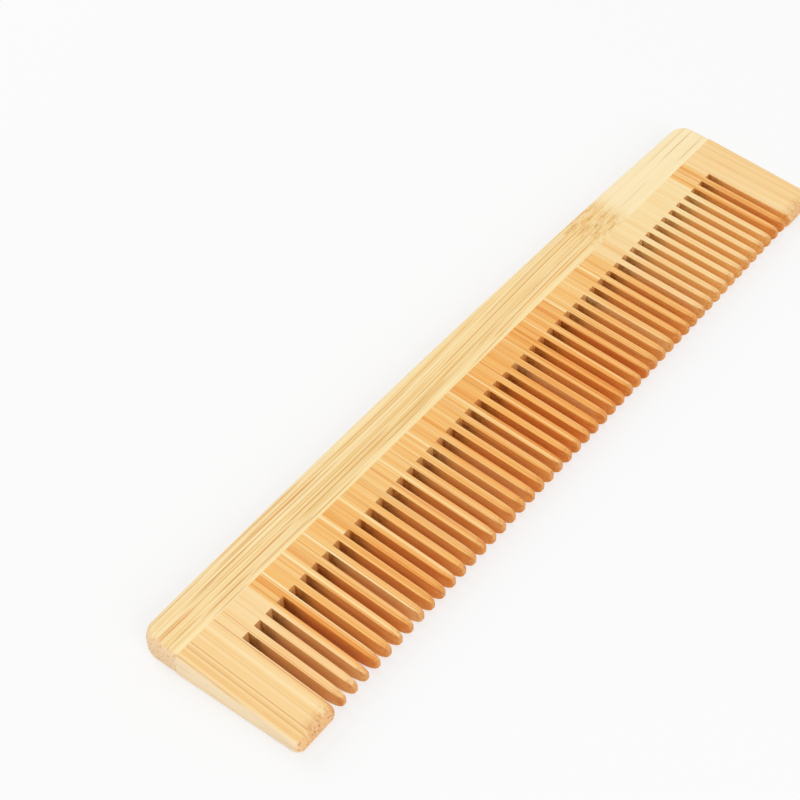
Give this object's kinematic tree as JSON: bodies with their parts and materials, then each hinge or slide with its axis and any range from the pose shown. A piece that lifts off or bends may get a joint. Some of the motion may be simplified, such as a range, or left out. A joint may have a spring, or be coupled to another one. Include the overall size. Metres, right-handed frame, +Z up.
{
  "type": "bamboo hair comb",
  "caption": "Laminated bamboo hair comb: a long rounded spine strip with evenly sawn crosswise teeth between two broad guards, flat underneath and thinner towards the tips.",
  "frame": {"origin": "centre of the comb's bounding box in plan, on the flat underside that it lies on", "axes": "+X along the comb from the guard at its left to the guard at its right, +Y from the tooth tips towards the spine's back, +Z up out of the sloping upper face"},
  "size_m": [0.1722, 0.0354, 0.0062],
  "materials": {
    "bamboo_spine": "satin, long pale grain along the comb with a growth node",
    "bamboo_pale": "satin, pale crosswise grain",
    "bamboo_honey": "satin, honey crosswise grain",
    "bamboo_amber": "satin, amber crosswise grain"
  },
  "bodies": {
    "root": {"spine": "bamboo_spine", "left_guard_outer_strip": "bamboo_pale", "left_guard_inner_strip": "bamboo_pale", "tooth_strip_01": "bamboo_pale", "tooth_strip_02": "bamboo_amber", "tooth_strip_03": "bamboo_honey", "tooth_strip_04": "bamboo_honey", "tooth_strip_05": "bamboo_honey", "tooth_strip_06": "bamboo_amber", "tooth_strip_07": "bamboo_honey", "tooth_strip_08": "bamboo_honey", "tooth_strip_09": "bamboo_pale", "tooth_strip_10": "bamboo_honey", "tooth_strip_11": "bamboo_honey", "tooth_strip_12": "bamboo_honey", "tooth_strip_13": "bamboo_amber", "tooth_strip_14": "bamboo_amber", "tooth_strip_15": "bamboo_amber", "tooth_strip_16": "bamboo_amber", "tooth_strip_17": "bamboo_amber", "tooth_strip_18": "bamboo_honey", "tooth_strip_19": "bamboo_honey", "tooth_strip_20": "bamboo_honey", "tooth_strip_21": "bamboo_pale", "tooth_strip_22": "bamboo_pale", "tooth_strip_23": "bamboo_pale", "tooth_strip_24": "bamboo_pale", "tooth_strip_25": "bamboo_honey", "right_guard_inner_strip": "bamboo_pale", "right_guard_outer_strip": "bamboo_pale"}
  },
  "joints": []
}
